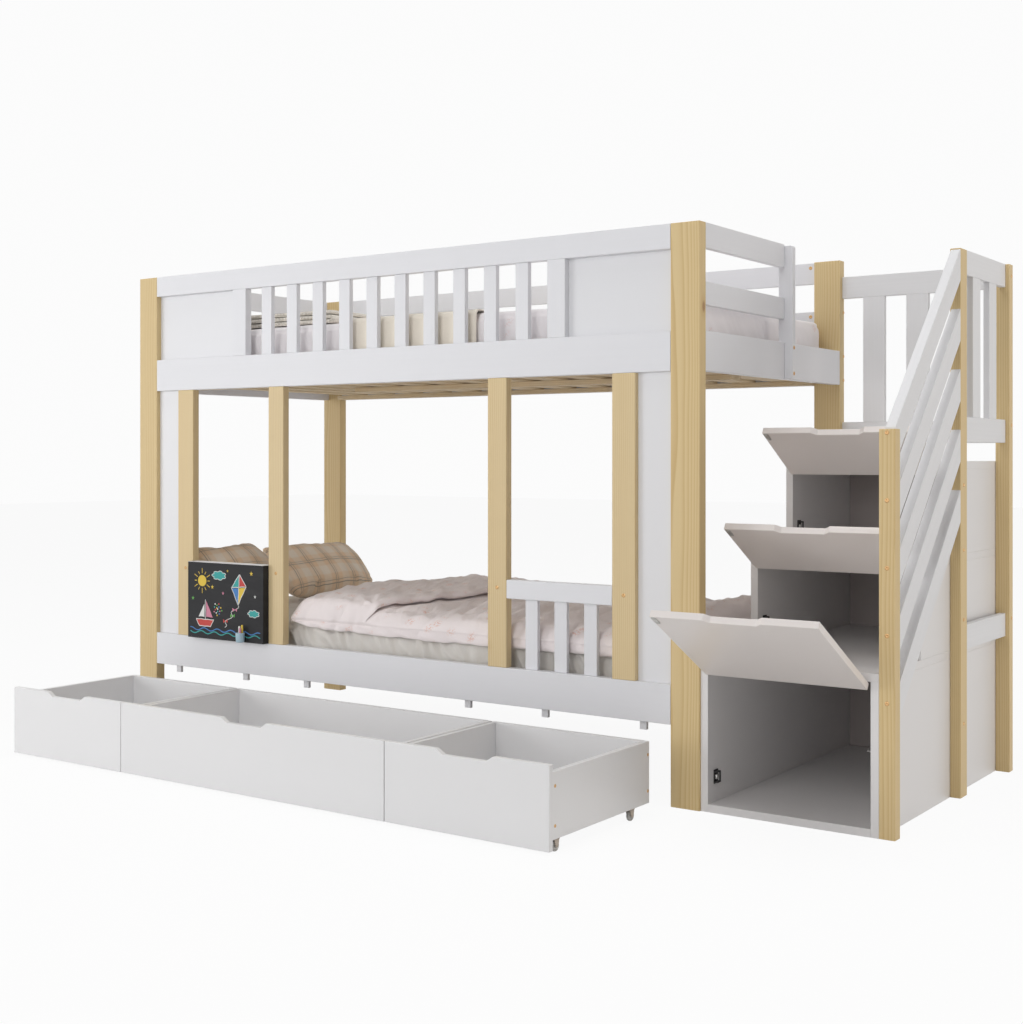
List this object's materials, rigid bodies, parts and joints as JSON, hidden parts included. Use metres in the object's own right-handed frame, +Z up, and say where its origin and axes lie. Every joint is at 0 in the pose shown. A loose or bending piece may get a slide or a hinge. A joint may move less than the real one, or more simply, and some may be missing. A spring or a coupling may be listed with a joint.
{
  "type": "bunk bed with storage stairs",
  "caption": "Bunk bed of natural wood posts and white boards, with underbed drawers on casters, cabinet stairs with hinged flaps, guard rails and bedding.",
  "frame": {"origin": "centre of the front left post's foot, on the floor", "axes": "+X along the bed towards the stairs, +Y from the front to the back, +Z up"},
  "size_m": [2.5815, 1.558, 1.5],
  "materials": {
    "bed_post_pine": "clear satin lacquer on knotty pine",
    "window_post_pine": "clear satin lacquer on pine",
    "stair_post_pine": "clear satin lacquer on pine",
    "slat_pine": "planed untreated pine",
    "flap_board": "satin white paint on board, seen on its shaded inner face",
    "hinge_steel": "plated steel",
    "bolt_bronze": "dull bronze plating",
    "caster_metal": "dull brass plating",
    "caster_wheel": "moulded translucent plastic",
    "chalkboard_black": "matte black board face",
    "upper_mattress_fabric": "quilted print cotton",
    "lower_mattress_fabric": "quilted cotton",
    "blanket_fabric": "soft woven blanket",
    "throw_knit": "chunky knit",
    "duvet_fabric": "soft cotton cover",
    "pillow_plaid": "woven plaid cotton",
    "drawer_white": "satin white paint on board",
    "stair_white": "satin white paint on board",
    "stair_guard_white": "satin white paint on pine",
    "frame_white": "satin white paint on pine"
  },
  "bodies": {
    "bed_and_stairs": {"bolt_heads": "bolt_bronze", "cabinet_floor_and_backs": "stair_white", "chalkboard": "chalkboard_black", "diagonal_guard_boards": "stair_guard_white", "drawer_stops": "drawer_white", "entry_guard_post": "frame_white", "flap_hinges": "hinge_steel", "front_guard_balusters": "frame_white", "front_guard_panels": "frame_white", "front_guard_top_rail": "frame_white", "front_left_post": "bed_post_pine", "front_right_post": "bed_post_pine", "knitted_throw": "throw_knit", "low_guard": "frame_white", "lower_bed_slats": "slat_pine", "lower_cabinet_sides": "stair_white", "lower_duvet": "duvet_fabric", "lower_front_panels": "frame_white", "lower_front_rail": "frame_white", "lower_mattress": "lower_mattress_fabric", "lower_pillows": "pillow_plaid", "lower_rear_and_end_rails": "frame_white", "lower_tread": "stair_white", "middle_cabinet_sides": "stair_white", "middle_tread": "stair_white", "rear_and_end_guard_rails": "frame_white", "rear_left_post": "bed_post_pine", "rear_right_post": "bed_post_pine", "slat_ledgers": "slat_pine", "stair_back_post": "stair_post_pine", "stair_front_post": "stair_post_pine", "stair_middle_post": "stair_post_pine", "stair_rear_guard": "stair_guard_white", "stair_side_guard": "stair_guard_white", "upper_bed_slats": "slat_pine", "upper_blanket": "blanket_fabric", "upper_cabinet_sides": "stair_white", "upper_front_rail": "frame_white", "upper_mattress": "upper_mattress_fabric", "upper_rear_and_end_rails": "frame_white", "upper_tread": "stair_white", "window_posts": "window_post_pine"},
    "left_drawer": {"left_drawer_front": "drawer_white", "left_drawer_box": "drawer_white", "left_drawer_caster_forks": "caster_metal"},
    "left_drawer_front_wheel_pair": {"left_drawer_front_wheels": "caster_wheel"},
    "left_drawer_rear_wheel_pair": {"left_drawer_rear_wheels": "caster_wheel"},
    "centre_drawer": {"centre_drawer_front": "drawer_white", "centre_drawer_box": "drawer_white", "centre_drawer_caster_forks": "caster_metal"},
    "centre_drawer_front_wheel_pair": {"centre_drawer_front_wheels": "caster_wheel"},
    "centre_drawer_rear_wheel_pair": {"centre_drawer_rear_wheels": "caster_wheel"},
    "right_drawer": {"right_drawer_front": "drawer_white", "right_drawer_box": "drawer_white", "right_drawer_caster_forks": "caster_metal"},
    "right_drawer_front_wheel_pair": {"right_drawer_front_wheels": "caster_wheel"},
    "right_drawer_rear_wheel_pair": {"right_drawer_rear_wheels": "caster_wheel"},
    "lower_flap": {"lower_flap": "flap_board"},
    "middle_flap": {"middle_flap": "flap_board"},
    "upper_flap": {"upper_flap": "flap_board"}
  },
  "joints": [
    {"name": "left_drawer_slide", "type": "slide", "parent": "bed_and_stairs", "child": "left_drawer", "axis": [0, 1, 0], "range_m": [0, 0.578]},
    {"name": "left_drawer_front_wheel_spin", "type": "hinge", "parent": "left_drawer", "child": "left_drawer_front_wheel_pair", "pos_m": [0, -0.558, 0.0135], "axis": [1, 0, 0], "continuous": true},
    {"name": "left_drawer_rear_wheel_spin", "type": "hinge", "parent": "left_drawer", "child": "left_drawer_rear_wheel_pair", "pos_m": [0, -0.208, 0.0135], "axis": [1, 0, 0], "continuous": true},
    {"name": "centre_drawer_slide", "type": "slide", "parent": "bed_and_stairs", "child": "centre_drawer", "axis": [0, 1, 0], "range_m": [0, 0.578]},
    {"name": "centre_drawer_front_wheel_spin", "type": "hinge", "parent": "centre_drawer", "child": "centre_drawer_front_wheel_pair", "pos_m": [0, -0.558, 0.0135], "axis": [1, 0, 0], "continuous": true},
    {"name": "centre_drawer_rear_wheel_spin", "type": "hinge", "parent": "centre_drawer", "child": "centre_drawer_rear_wheel_pair", "pos_m": [0, -0.208, 0.0135], "axis": [1, 0, 0], "continuous": true},
    {"name": "right_drawer_slide", "type": "slide", "parent": "bed_and_stairs", "child": "right_drawer", "axis": [0, 1, 0], "range_m": [0, 0.578]},
    {"name": "right_drawer_front_wheel_spin", "type": "hinge", "parent": "right_drawer", "child": "right_drawer_front_wheel_pair", "pos_m": [0, -0.558, 0.0135], "axis": [1, 0, 0], "continuous": true},
    {"name": "right_drawer_rear_wheel_spin", "type": "hinge", "parent": "right_drawer", "child": "right_drawer_rear_wheel_pair", "pos_m": [0, -0.208, 0.0135], "axis": [1, 0, 0], "continuous": true},
    {"name": "lower_flap_hinge", "type": "hinge", "parent": "bed_and_stairs", "child": "lower_flap", "pos_m": [2.25, -0.0155, 0.368], "axis": [1, 0, 0], "range_deg": [0, 120]},
    {"name": "middle_flap_hinge", "type": "hinge", "parent": "bed_and_stairs", "child": "middle_flap", "pos_m": [2.25, 0.2835, 0.618], "axis": [1, 0, 0], "range_deg": [0, 120]},
    {"name": "upper_flap_hinge", "type": "hinge", "parent": "bed_and_stairs", "child": "upper_flap", "pos_m": [2.25, 0.5185, 0.868], "axis": [1, 0, 0], "range_deg": [0, 120]}
  ],
  "couplings": [
    {"joint": "left_drawer_front_wheel_spin", "follows": "left_drawer_slide", "rad_per_m": -74.074},
    {"joint": "left_drawer_rear_wheel_spin", "follows": "left_drawer_slide", "rad_per_m": -74.074},
    {"joint": "centre_drawer_front_wheel_spin", "follows": "centre_drawer_slide", "rad_per_m": -74.074},
    {"joint": "centre_drawer_rear_wheel_spin", "follows": "centre_drawer_slide", "rad_per_m": -74.074},
    {"joint": "right_drawer_front_wheel_spin", "follows": "right_drawer_slide", "rad_per_m": -74.074},
    {"joint": "right_drawer_rear_wheel_spin", "follows": "right_drawer_slide", "rad_per_m": -74.074}
  ]
}
